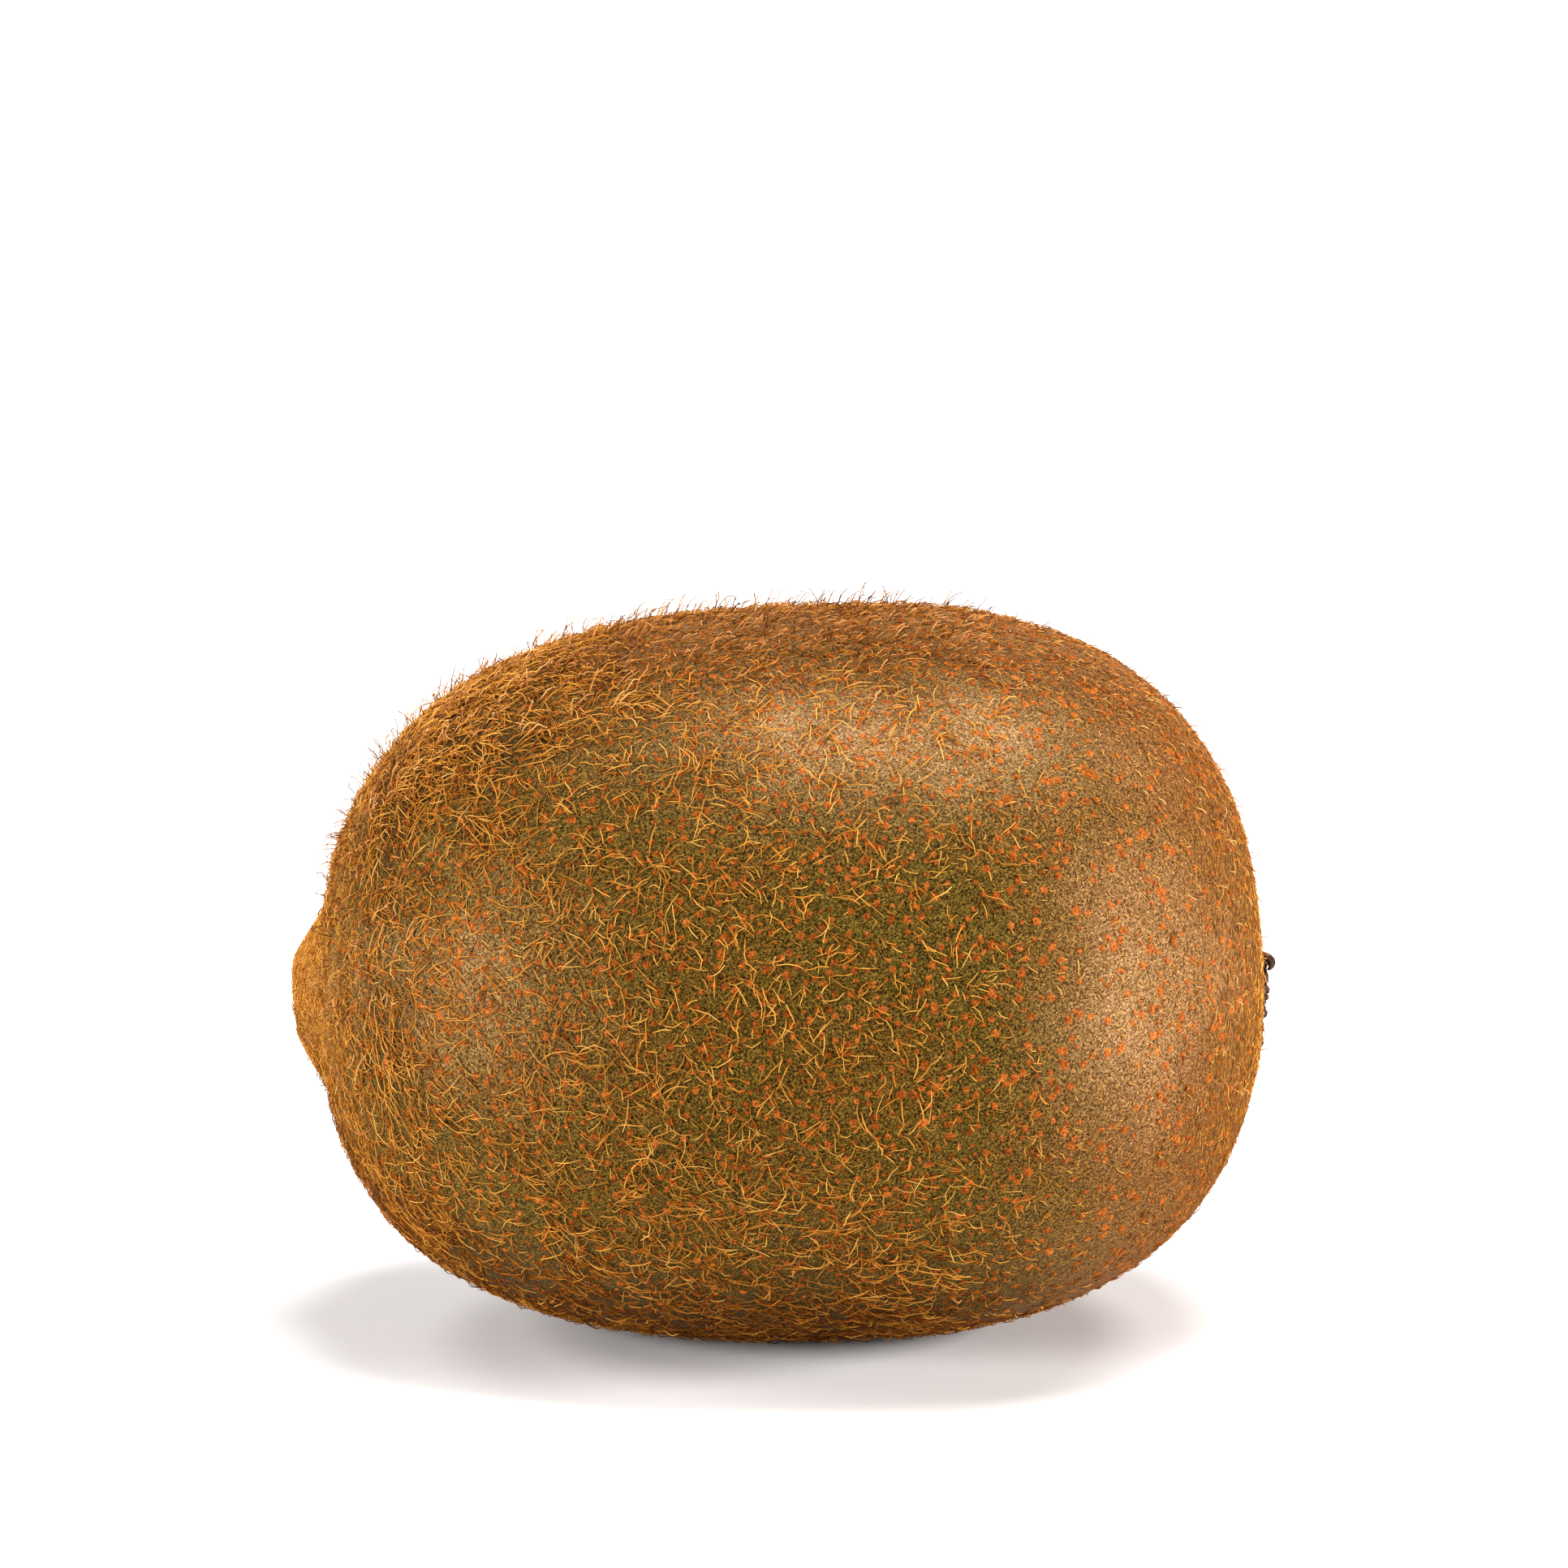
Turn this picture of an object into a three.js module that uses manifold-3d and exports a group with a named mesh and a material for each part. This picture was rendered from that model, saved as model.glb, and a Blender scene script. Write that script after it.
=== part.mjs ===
// A whole kiwi fruit, picked and lying on its side, in millimetres.
// +X runs along the fruit from the stalk end to the flower end, +Y across it and +Z up.
// The origin is on the surface it lies on, under the middle of its bounding box.
//
// The fruit is one solid: a full, slightly arched oval that is blunter at the flower end, with
// a collar round the stalk scar at one end, a shallow dish at the other and a small flat spot
// underneath. The dry remains of the flower sit in the dish and are a solid of their own.

import * as THREE from "three";
import { ParametricGeometry } from "three/addons/geometries/ParametricGeometry.js";
import { mergeVertices } from "three/addons/utils/BufferGeometryUtils.js";
import Module from "manifold-3d";

const { clamp, degToRad, lerp, smoothstep } = THREE.MathUtils;
const fullTurn = 2 * Math.PI;

// The oval body, measured from its widest girth. A fullness of 2 is an ellipse.
const body = {
  stalkReach: 36.0,
  flowerReach: 28.98,
  halfHeight: 25.5,
  halfWidth: 26.7,
  stalkFullness: 2.62,
  flowerFullness: 2.5,
  lean: degToRad(1.1), // the flower end lies a little higher
  stalkDroop: 0.15, // how far each end hangs below the straight axis
  flowerDroop: 0.6,
  restingSink: 0.34, // depth of the flat spot it lies on
};

// Faint lengthwise swellings that keep the girth from being a true oval.
const swellings = [
  { count: 2, share: 0.006, phase: 0.7, twist: 0.5 },
  { count: 3, share: 0.008, phase: 2.1, twist: 0.9 },
  { count: 5, share: 0.003, phase: 0.4, twist: -0.6 },
];

// The collar round the stalk scar: skin rises to a blunt crest, with a pit inside it and a low
// woody button in the pit. The crest's upper side stands out a little more.
const stalkEnd = {
  drop: 0.8,
  height: 2.2,
  crest: 2.7,
  foot: 7.4,
  tip: 0.07, // extra height for each millimetre up
  pitDepth: 1.15,
  pitRadius: 0.9,
  buttonHeight: 0.5,
  buttonRadius: 1.3,
};

// The low collar at the flower end, round the dish that holds the flower's remains.
const flowerEnd = {
  drop: 2.3,
  height: 0.45,
  crest: 5.0,
  foot: 6.8,
  tip: 0,
  pitDepth: 1.5,
  pitRadius: 3.6,
  buttonHeight: 0,
  buttonRadius: 1,
};

// The flower's remains: a crumpled pad with dry style stubs, and one curled sepal at its top.
const remains = {
  gap: 0.3, // clear of the skin all round
  padRadius: 3.7,
  padThickness: 0.65,
  ridges: 13,
  ridgeDepth: 0.16,
  stubCount: 26,
  stubRadius: 0.46,
  stubLength: [0.95, 1.5],
  sepalLength: 1.45,
  sepalRadius: 0.62,
  seed: 7,
};

const mesh = { around: 64, along: 60, endFineness: 0.68 };

const wasm = await Module();
wasm.setup();

function solidOf(geometry) {
  const bare = geometry.clone().deleteAttribute("normal").deleteAttribute("uv");
  const merged = mergeVertices(bare, 1e-4);
  return new wasm.Manifold(
    new wasm.Mesh({
      numProp: 3,
      vertProperties: new Float32Array(merged.attributes.position.array),
      triVerts: new Uint32Array(merged.index.array),
    }),
  );
}

function geometryOf(solid) {
  const { vertProperties, triVerts } = solid.getMesh();
  const geometry = new THREE.BufferGeometry();
  geometry.setAttribute("position", new THREE.BufferAttribute(vertProperties, 3));
  geometry.setIndex(new THREE.BufferAttribute(triVerts, 1));
  geometry.computeVertexNormals();
  return geometry;
}

// How far the skin stands out of the plain oval at a point of one end, along the axis.
function endRelief(end, y, z) {
  const above = z + end.drop;
  const distance = Math.hypot(y, above);
  const collar = 1 - smoothstep(distance, end.crest * 0.55, end.foot);
  const pit = 1 - smoothstep(distance, end.pitRadius, end.crest);
  const button = 1 - smoothstep(distance, end.buttonRadius * 0.6, end.buttonRadius);
  const height = end.height + end.tip * clamp(above, -end.crest, end.crest);
  return height * collar - end.pitDepth * pit + end.buttonHeight * button;
}

// A point of the skin: u goes round the fruit and v from the stalk end to the flower end.
function skinPoint(u, v, target) {
  const turn = u * fullTurn;
  const polar = Math.PI * (v - (mesh.endFineness * Math.sin(fullTurn * v)) / fullTurn);
  const towardsFlower = polar > Math.PI / 2;
  const end = towardsFlower ? flowerEnd : stalkEnd;
  const reach = towardsFlower ? body.flowerReach : body.stalkReach;
  const fullness = towardsFlower ? body.flowerFullness : body.stalkFullness;
  const side = Math.abs(Math.sin(polar));
  const ahead = Math.abs(Math.cos(polar));
  const girth = side / (side ** fullness + ahead ** fullness) ** (1 / fullness);

  let y = body.halfWidth * girth * Math.cos(turn);
  let z = body.halfHeight * girth * Math.sin(turn) - end.drop * (1 - girth) ** 2;
  const across = Math.hypot(y / body.halfWidth, z / body.halfHeight);
  let x = reach * Math.max(0, 1 - across ** fullness) ** (1 / fullness);
  x += endRelief(end, y, z);
  if (!towardsFlower) x = -x;

  let swell = 1;
  for (const { count, share, phase, twist } of swellings) {
    swell += share * side * Math.cos(count * turn + phase + (twist * x) / reach);
  }
  y *= swell;
  z *= swell;
  const droop = towardsFlower ? body.flowerDroop : body.stalkDroop;
  z += x * Math.tan(body.lean) - droop * (x / reach) ** 4;
  target.set(x, y, z);
}

function makeFruit() {
  const whole = new ParametricGeometry(skinPoint, mesh.around, mesh.along);
  whole.computeBoundingBox();
  const { min, max } = whole.boundingBox;
  const floor = min.z + body.restingSink;
  const span = 2 * (max.x - min.x);
  const below = new THREE.BoxGeometry(span, span, span);
  below.translate(0, 0, floor - span / 2);
  return geometryOf(solidOf(whole).subtract(solidOf(below)));
}

// Numbers from 0 to 1 that are the same on every run.
function drawsFrom(seed) {
  let state = seed;
  return () => {
    state = (state * 1664525 + 1013904223) % 4294967296;
    return state / 4294967296;
  };
}

// The pad: a thin round cake with crumpled ridges, its axis along +Y and its foot at y = 0.
function makePad() {
  const { padRadius: radius, padThickness: thick, ridges, ridgeDepth } = remains;
  const profile = [
    [0, 0],
    [radius * 0.55, 0],
    [radius * 0.86, 0.12],
    [radius, thick * 0.55],
    [radius * 0.9, thick * 0.92],
    [radius * 0.62, thick],
    [radius * 0.34, thick * 0.9],
    [0, thick * 0.8],
  ].map(([x, y]) => new THREE.Vector2(x, y));
  const pad = new THREE.LatheGeometry(profile, 2 * ridges);
  const places = pad.attributes.position;
  const point = new THREE.Vector3();
  for (let i = 0; i < places.count; i += 1) {
    point.fromBufferAttribute(places, i);
    const out = Math.hypot(point.x, point.z) / radius;
    const turn = Math.atan2(point.z, point.x);
    const ridge = ridgeDepth * out * Math.cos(ridges * turn);
    if (point.y > thick / 2) point.y += ridge;
    const pull = 1 + 0.05 * out * Math.cos(3 * turn + 1);
    places.setXYZ(i, point.x * pull, point.y, point.z * pull);
  }
  return pad;
}

// A dry stub that starts upright at the origin, along +Y, and curls over towards +X.
function makeCurl(length, footRadius, tipRadius, bend, flatten = 1) {
  const curl = new THREE.CylinderGeometry(tipRadius, footRadius, length, 6, 4);
  curl.translate(0, length / 2, 0);
  curl.scale(1, 1, flatten);
  const places = curl.attributes.position;
  const arc = length / bend; // radius of the curled middle line
  for (let i = 0; i < places.count; i += 1) {
    const angle = places.getY(i) / arc;
    const out = arc - places.getX(i);
    const x = arc - out * Math.cos(angle);
    places.setXYZ(i, x, out * Math.sin(angle), places.getZ(i));
  }
  return curl;
}

function makeRemains() {
  const draw = drawsFrom(remains.seed);
  const between = ([low, high]) => lerp(low, high, draw());
  const { padRadius: radius, padThickness: thick } = remains;
  const goldenAngle = Math.PI * (3 - Math.sqrt(5));
  let joined = solidOf(makePad());
  for (let i = 0; i < remains.stubCount; i += 1) {
    const out = radius * 0.84 * Math.sqrt((i + 0.5) / remains.stubCount);
    const length = between(remains.stubLength);
    const stub = makeCurl(length, remains.stubRadius, remains.stubRadius * 0.6, 1.5);
    stub.rotateY(between([-0.6, 0.6]));
    stub.translate(out - length * 0.35, 0.06, 0);
    stub.rotateY(i * goldenAngle);
    joined = joined.add(solidOf(stub));
  }
  const { sepalLength, sepalRadius } = remains;
  const sepal = makeCurl(sepalLength, sepalRadius, sepalRadius * 0.6, 0.7, 1.3);
  sepal.translate(0, -sepalRadius * 0.55, 0);
  sepal.rotateY(Math.PI); // it curls back over the pad
  sepal.translate(radius * 0.85, thick - 0.3, 0);
  sepal.rotateY(-Math.PI / 2);
  joined = joined.add(solidOf(sepal));
  const geometry = geometryOf(joined);
  geometry.rotateZ(-Math.PI / 2); // the pad now faces +X, with the sepal at its top
  return geometry;
}

function named(name, geometry, colour, roughness) {
  const material = new THREE.MeshStandardMaterial({ color: colour, roughness, metalness: 0 });
  const made = new THREE.Mesh(geometry, material);
  made.name = name;
  return made;
}

const fruit = named("fruit", makeFruit(), 0x8a5f28, 0.85);
const flowerRemains = named("flower_remains", makeRemains(), 0x2e1a10, 0.95);

// The pad stands on the dish's floor, clear of it by the gap.
const dishFloor = new THREE.Vector3();
skinPoint(0, 1, dishFloor);
flowerRemains.position.set(dishFloor.x + remains.gap, dishFloor.y, dishFloor.z);

const part = new THREE.Group();
part.add(fruit, flowerRemains);
const box = new THREE.Box3().setFromObject(part);
part.position.set(-(box.min.x + box.max.x) / 2, -(box.min.y + box.max.y) / 2, -box.min.z);

export default part;
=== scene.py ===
import math

import bpy
import numpy as np
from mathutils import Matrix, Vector, kdtree, noise
from mathutils.bvhtree import BVHTree


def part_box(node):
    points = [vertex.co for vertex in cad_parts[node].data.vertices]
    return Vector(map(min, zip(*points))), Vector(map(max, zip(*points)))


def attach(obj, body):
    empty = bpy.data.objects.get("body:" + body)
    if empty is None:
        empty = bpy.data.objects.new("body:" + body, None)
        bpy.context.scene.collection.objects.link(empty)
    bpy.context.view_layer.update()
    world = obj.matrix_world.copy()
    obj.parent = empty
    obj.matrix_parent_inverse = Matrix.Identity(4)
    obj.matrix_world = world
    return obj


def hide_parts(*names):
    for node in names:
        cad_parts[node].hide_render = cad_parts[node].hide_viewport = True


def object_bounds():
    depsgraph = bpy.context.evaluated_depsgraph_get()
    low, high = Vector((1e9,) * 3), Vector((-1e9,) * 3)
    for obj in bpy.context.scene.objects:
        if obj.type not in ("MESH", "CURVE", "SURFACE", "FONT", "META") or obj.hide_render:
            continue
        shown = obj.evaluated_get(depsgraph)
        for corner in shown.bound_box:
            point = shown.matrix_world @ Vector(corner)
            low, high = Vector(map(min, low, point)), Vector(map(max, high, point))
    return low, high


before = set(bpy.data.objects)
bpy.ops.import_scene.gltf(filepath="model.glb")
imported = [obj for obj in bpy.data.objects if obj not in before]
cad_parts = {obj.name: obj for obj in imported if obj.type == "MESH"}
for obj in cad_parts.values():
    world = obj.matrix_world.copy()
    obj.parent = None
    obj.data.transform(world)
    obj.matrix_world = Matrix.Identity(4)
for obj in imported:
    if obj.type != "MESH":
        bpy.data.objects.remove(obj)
cadBox = [list(corner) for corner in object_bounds()]
fruitBox = [np.array(corner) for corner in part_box("fruit")]
mm = 0.001
noise.seed_set(3)  # without a seed, noise vectors differ from run to run
print("frame loaded")


# Small helpers for vectors kept as rows of an array

def ease(value, low, high):
    # 0 up to low and 1 from high on, with a soft step between them
    share = np.clip((value - low) / (high - low), 0, 1)
    return share * share * (3 - 2 * share)


def between(value, rise, fall):
    # 1 between two soft edges, each given by where it starts and ends
    return ease(value, *rise) * (1 - ease(value, *fall))


def rising(share, start, more):
    # from start, and more is added where the share is full
    return start + more * share


def unit(vectors):
    lengths = np.linalg.norm(vectors, axis=-1, keepdims=True)
    return vectors / np.maximum(lengths, 1e-12)


def flatten(vectors, normals):
    along = np.sum(vectors * normals, axis=-1, keepdims=True)
    return unit(vectors - along * normals)


def turned(vectors, normals, angles):
    angles = np.asarray(angles)[:, None]
    return vectors * np.cos(angles) + np.cross(normals, vectors) * np.sin(angles)


def driftOf(points, sizeMm, pattern=0.0):
    # smooth noise vectors whose swirls are about sizeMm across
    places = points / (sizeMm * mm) + pattern
    return np.array([noise.noise_vector(Vector(place)) for place in places.tolist()])


def swirlsAt(points, swirls):
    # each swirl has a size in mm, a pattern and a strength
    return sum(driftOf(points, size, pattern) * strength for size, pattern, strength in swirls)


# Small helpers for Blender's data

def addObject(name, data):
    added = bpy.data.objects.new(name, data)
    bpy.context.scene.collection.objects.link(added)
    return added


def meshPiece(name, points, faces, material, cornerUvs=None, vertexUvs=None):
    mesh = bpy.data.meshes.new(name)
    mesh.materials.append(material)
    mesh.from_pydata(np.asarray(points).tolist(), [], faces)
    mesh.shade_smooth()
    if vertexUvs is not None:
        cornerUvs = vertexUvs[[v for face in faces for v in face]]
    if cornerUvs is not None:
        layer = mesh.uv_layers.new(name="OFBake")
        layer.data.foreach_set("uv", np.asarray(cornerUvs, dtype=np.float32).ravel())
    return addObject(name, mesh)


def copiedFaces(pattern, each, count):
    # the faces of many copies of a small mesh, with this many points in each copy
    starts = range(0, count * each, each)
    return [tuple(v + start for v in face) for start in starts for face in pattern]


def stripFaces(around, rings, start=0):
    # the faces between closed rings of points
    faces = []
    for ring in range(rings - 1):
        for step in range(around):
            after = (step + 1) % around
            low = start + ring * around
            high = low + around
            faces.append((low + step, high + step, high + after, low + after))
    return faces


def newMaterial(name, look):
    material = bpy.data.materials.new(name)
    material.use_nodes = True
    shader = material.node_tree.nodes["Principled BSDF"]
    shader.inputs["Roughness"].default_value = look["roughness"]
    shader.inputs["Specular IOR Level"].default_value = look["specular"]
    shader.inputs["Sheen Weight"].default_value = look.get("sheen", 0)
    shader.inputs["Sheen Tint"].default_value = (*look.get("sheenTint", (1, 1, 1)), 1)
    return material, material.node_tree, shader


def node(tree, kind, label="", **settings):
    made = tree.nodes.new(kind)
    made.label = label
    for key, value in settings.items():
        setattr(made, key, value)
    return made


def objectInMm(tree):
    coordinates = node(tree, "ShaderNodeTexCoord")
    inMm = node(tree, "ShaderNodeVectorMath", "metres to mm", operation="SCALE")
    inMm.inputs["Scale"].default_value = 1000
    tree.links.new(coordinates.outputs["Object"], inMm.inputs[0])
    return inMm.outputs[0]


def toneAndAlong(tree):
    # the bake map's u is the tone, and its v goes from root to tip
    uv = node(tree, "ShaderNodeUVMap", uv_map="OFBake")
    parts = node(tree, "ShaderNodeSeparateXYZ")
    tree.links.new(uv.outputs["UV"], parts.inputs[0])
    return parts.outputs["X"], parts.outputs["Y"]


def noiseNode(tree, where, label, perMm, detail=2, roughness=0.5, distortion=0):
    made = node(tree, "ShaderNodeTexNoise", label)
    made.inputs["Scale"].default_value = perMm
    made.inputs["Detail"].default_value = detail
    made.inputs["Roughness"].default_value = roughness
    made.inputs["Distortion"].default_value = distortion
    tree.links.new(where, made.inputs["Vector"])
    return made.outputs["Fac"]


def rampNode(tree, value, stops, label=""):
    made = node(tree, "ShaderNodeValToRGB", label)
    ramp = made.color_ramp
    while len(ramp.elements) < len(stops):
        ramp.elements.new(0.5)
    for element, (place, colour) in zip(ramp.elements, stops):
        element.position = place
        element.color = (*colour, 1)
    tree.links.new(value, made.inputs["Fac"])
    return made.outputs["Color"]


def mixNode(tree, share, first, second, blend="MIX"):
    made = node(tree, "ShaderNodeMix", data_type="RGBA", blend_type=blend)
    for index, value in ((0, share), (6, first), (7, second)):
        socket = made.inputs[index]
        if isinstance(value, bpy.types.NodeSocket):
            tree.links.new(value, socket)
        elif isinstance(value, tuple):
            socket.default_value = (*value, 1)
        else:
            socket.default_value = value
    return made.outputs[2]


def finishShader(tree, shader, look, colour, height):
    # the colour, and a bump from the height
    tree.links.new(colour, shader.inputs["Base Color"])
    bump = node(tree, "ShaderNodeBump")
    bump.inputs["Strength"].default_value = look["bumpStrength"]
    bump.inputs["Distance"].default_value = look["bumpMm"] * mm
    tree.links.new(height, bump.inputs["Height"])
    tree.links.new(bump.outputs["Normal"], shader.inputs["Normal"])


def srgb(red, green, blue):
    values = [c / 255 for c in (red, green, blue)]
    return tuple(c / 12.92 if c < 0.04045 else ((c + 0.055) / 1.055) ** 2.4 for c in values)


# The fruit's form, in mm from its widest girth. A fullness of 2 is an ellipse.

bodyShape = {
    "stalkReach": 36, "flowerReach": 28.98, "halfHeight": 25.5, "halfWidth": 26.7,
    "stalkFullness": 2.62, "flowerFullness": 2.5, "leanDegrees": 1.1,
    "stalkDroop": 0.15, "flowerDroop": 0.6,
    "swellings": [  # count round the girth, share, phase, twist
        (2, 0.006, 0.7, 0.5),
        (3, 0.008, 2.1, 0.9),
        (5, 0.003, 0.4, -0.6),
    ],
}
stalkCollar = {
    "drop": 0.8, "height": 2.2, "crest": 2.7, "foot": 7.4, "tip": 0.07,
    "pitDepth": 1.15, "pitRadius": 0.9,
}
flowerCollar = {
    "drop": 2.3, "height": 0.45, "crest": 5, "foot": 6.8, "tip": 0,
    "pitDepth": 1.5, "pitRadius": 3.6,
}


def collarRelief(collar, y, z):
    above = z + collar["drop"]
    distance = np.hypot(y, above)
    rise = 1 - ease(distance, collar["crest"] * 0.55, collar["foot"])
    pit = 1 - ease(distance, collar["pitRadius"], collar["crest"])
    height = collar["height"] + collar["tip"] * np.clip(above, -collar["crest"], collar["crest"])
    return height * rise - collar["pitDepth"] * pit


def plainSkin(turn, polar):
    # turn goes round the fruit, and polar from 0 at the stalk to pi at the flower
    shape = bodyShape
    flowerSide = polar > math.pi / 2
    names = ("Reach", "Fullness", "Droop")
    ends = [(shape["flower" + name], shape["stalk" + name]) for name in names]
    reach, full, droop = [np.where(flowerSide, *pair) for pair in ends]
    drop = np.where(flowerSide, flowerCollar["drop"], stalkCollar["drop"])
    side, ahead = np.abs(np.sin(polar)), np.abs(np.cos(polar))
    girth = side / (side**full + ahead**full) ** (1 / full)
    y = shape["halfWidth"] * girth * np.cos(turn)
    z = shape["halfHeight"] * girth * np.sin(turn) - drop * (1 - girth) ** 2
    across = np.hypot(y / shape["halfWidth"], z / shape["halfHeight"])
    x = reach * np.maximum(0, 1 - across**full) ** (1 / full)
    reliefs = [collarRelief(collar, y, z) for collar in (flowerCollar, stalkCollar)]
    x = x + np.where(flowerSide, *reliefs)
    x = np.where(flowerSide, x, -x)
    swell = np.ones_like(x)
    for count, share, phase, twist in shape["swellings"]:
        swell = swell + share * side * np.cos(count * turn + phase + twist * x / reach)
    z = z * swell + x * math.tan(math.radians(shape["leanDegrees"])) - droop * (x / reach) ** 4
    return np.stack([x, y * swell, z], axis=-1)


# Skin: a fine grid round the fruit, set into the frame by the box of the CAD fruit

skinLook = {
    "around": 232, "rings": 190,
    "poleFineness": 0.6,
    "unevenMm": 0.07, "unevenSizeMm": 7,
    "dimpleShare": 0.4,  # finer unevenness on top of that
    "dimpleSizeMm": 2.6,
    "oliveDark": srgb(22, 15, 1), "oliveLight": srgb(130, 103, 40),
    "brownDark": srgb(35, 17, 2), "brownLight": srgb(158, 100, 42),
    "shade": srgb(26, 16, 3),
    # dark and light flecks inside the painted highlights, lighter skin where the lights shine on
    # it
    "paleDark": srgb(104, 69, 30), "paleLight": srgb(236, 187, 134),
    "goldDark": srgb(97, 53, 10), "goldLight": srgb(213, 144, 66),
    # painted highlights where the lights fall, and a faint painted sheen along the top
    "palePatches": [  # x in mm, degrees round, half length, half width and strength
        (23.5, 7, 6.5, 28, 0.68),
        (7, 48, 16, 15, 0.76),
        (-21, 8, 9, 22, 0.42),
        (16, 168, 13, 30, 0.5),
        (-8, 138, 14, 17, 0.5),
        (0, 84, 26, 14, 0.25),
        (22, -34, 9, 20, 0.05),
    ],
    # each noise: swirls in a mm, detail, roughness and distortion
    "fleckNoise": (7.4, 2, 0.65, 1),
    "fleckStops": [(0.39, (0, 0, 0)), (0.52, (0.32, 0.32, 0.32)), (0.65, (1, 1, 1))],
    "streakNoise": (1, 3, 0.6, 0.3),
    "streakStretch": (9, 2.2, 2.2),
    "patchNoise": (0.13, 3, 0.6),
    "patchStops": [(0.4, (0, 0, 0)), (0.7, (0.3, 0.3, 0.3))],
    "bumpStrength": 0.5, "bumpMm": 0.12,
    "roughness": 0.56, "specular": 0,
    "sheen": 0.06, "sheenTint": srgb(255, 232, 208),
}


def skinGrid():
    around, rings = skinLook["around"], skinLook["rings"]
    turns = np.arange(around) * 2 * math.pi / around
    shares = np.arange(1, rings) / rings
    waves = np.sin(2 * math.pi * shares) / (2 * math.pi)  # finer rings near the tips
    polars = math.pi * (shares - skinLook["poleFineness"] * waves)
    turnGrid, polarGrid = np.meshgrid(turns, polars)
    middle = plainSkin(turnGrid, polarGrid).reshape(-1, 3)
    ends = plainSkin(np.zeros(2), np.array([1e-9, math.pi - 1e-9]))
    return np.vstack([ends[:1], middle, ends[1:]])


def gridFaces(around, rings):
    # triangles round both tips and quads between them, with the bake map's place for each corner
    after = [(j + 1) % around for j in range(around)]
    far = 1 + (rings - 2) * around
    faces = [(0, 1 + after[j], 1 + j) for j in range(around)]
    faces += [(a, d, c, b) for a, b, c, d in stripFaces(around, rings - 1, 1)]
    faces += [(far + j, far + after[j], far + around) for j in range(around)]
    uvs = []
    for ring in range(rings):
        v, w = ring / rings, (ring + 1) / rings
        for j in range(around):
            u, middle, s = j / around, (j + 0.5) / around, (j + 1) / around
            corners = [(u, v), (s, v), (s, w), (u, w)]
            if ring == 0:
                corners[:2] = [(middle, v)]
            elif ring == rings - 1:
                corners[2:] = [(middle, w)]
            uvs += corners
    return faces, uvs


gridMm = skinGrid()
low, high = gridMm.min(axis=0), gridMm.max(axis=0)
shiftMm = (fruitBox[0] + fruitBox[1]) / 2 / mm - (low + high) / 2
shiftMm[2] = fruitBox[1][2] / mm - high[2]
skinPoints = (gridMm + shiftMm) * mm
skinPoints[:, 2] = np.maximum(skinPoints[:, 2], 0.0)  # the flat spot it lies on
stalkTip, flowerTip = skinPoints[0], skinPoints[-1]
centre = np.array([0.0, 0.0, (cadBox[0][2] + cadBox[1][2]) / 2])
uneven = driftOf(skinPoints, skinLook["unevenSizeMm"])[:, 0]
uneven = uneven + skinLook["dimpleShare"] * driftOf(skinPoints, skinLook["dimpleSizeMm"], 9)[:, 0]
outward = unit(skinPoints - centre)
free = ease(skinPoints[:, 2], 0.0, 2 * mm)
skinPoints = skinPoints + outward * (uneven * free * skinLook["unevenMm"] * mm)[:, None]
skinFaces, skinUvs = gridFaces(skinLook["around"], skinLook["rings"])
skinTree = BVHTree.FromPolygons(skinPoints.tolist(), skinFaces)


def onSkin(points):
    found = [skinTree.find_nearest(place) for place in points.tolist()]
    places = np.array([hit[0] for hit in found])
    normals = np.array([hit[1] for hit in found])
    return places, normals


# Where the fur is thick. It is thickest on the shoulder and round the stalk end, and the front
# and the back are rubbed. Angles are those of roundFront, lengths along the fruit are in mm from
# its middle, and each pair is where a soft edge starts and ends.

furMap = {
    "plain": 0.37, "shoulder": 0.42, "stalkEnd": 0.3, "underside": 0.05,
    "shoulderFrom": (6, 22),  # towards the stalk end
    "stalkEndFrom": (19, 30),
    "upperHalf": ((30, 58), (128, 160)),
    "undersideFrom": (12, 48),
    "rubs": [  # x in mm, degrees round, half length, half width and share lost
        (13, 10, 23, 40, 0.92),
        (11, 84, 26, 34, 0.88),
        (4, 176, 24, 34, 0.7),
    ],
    "rubEdge": (0.45, 1.2),
    "flowerShare": 0.12, "flowerEndFrom": (6, 24),
    "patchMm": 5, "patchDepth": 0.7,
    "bareShare": 0.75, "bareFrom": (8, 21),
    "stalkCapFrom": (25, 31),
    "topBand": ((52, 72), (108, 128)), "topBandFrom": (-20, -5),
    "topFade": (8, 22), "topFadeShare": 0.6,
}


def alongMm(points):
    return points[:, 0] / mm


def roundFront(points):
    # in degrees: 0 at the front, 90 at the top, 180 at the back and -90 underneath
    return np.degrees(np.arctan2(points[:, 2] - centre[2], -points[:, 1]))


def patchReach(x, angle, patch):
    # 0 in the middle of a patch, and 1 at its half length or half width
    middleX, middleAngle, halfLength, halfWidth = patch[:4]
    turn = (angle - middleAngle + 180) % 360 - 180
    return np.hypot((x - middleX) / halfLength, turn / halfWidth)


def furAt(points):
    look = furMap
    x, angle = alongMm(points), roundFront(points)
    upper = between(angle, *look["upperHalf"])
    fur = look["plain"] + look["shoulder"] * ease(-x, *look["shoulderFrom"]) * upper
    fur = fur + look["stalkEnd"] * ease(-x, *look["stalkEndFrom"]) * (1 - upper)
    fur = fur + look["underside"] * ease(-angle, *look["undersideFrom"])
    for patch in look["rubs"]:
        fur = fur * (1 - patch[4] * (1 - ease(patchReach(x, angle, patch), *look["rubEdge"])))
    fur = fur * (1 - (1 - look["flowerShare"]) * ease(x, *look["flowerEndFrom"]))
    patches = driftOf(points, look["patchMm"], 3.7)[:, 0]
    return np.clip(fur * (1 + look["patchDepth"] * patches), 0, 1)


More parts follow.
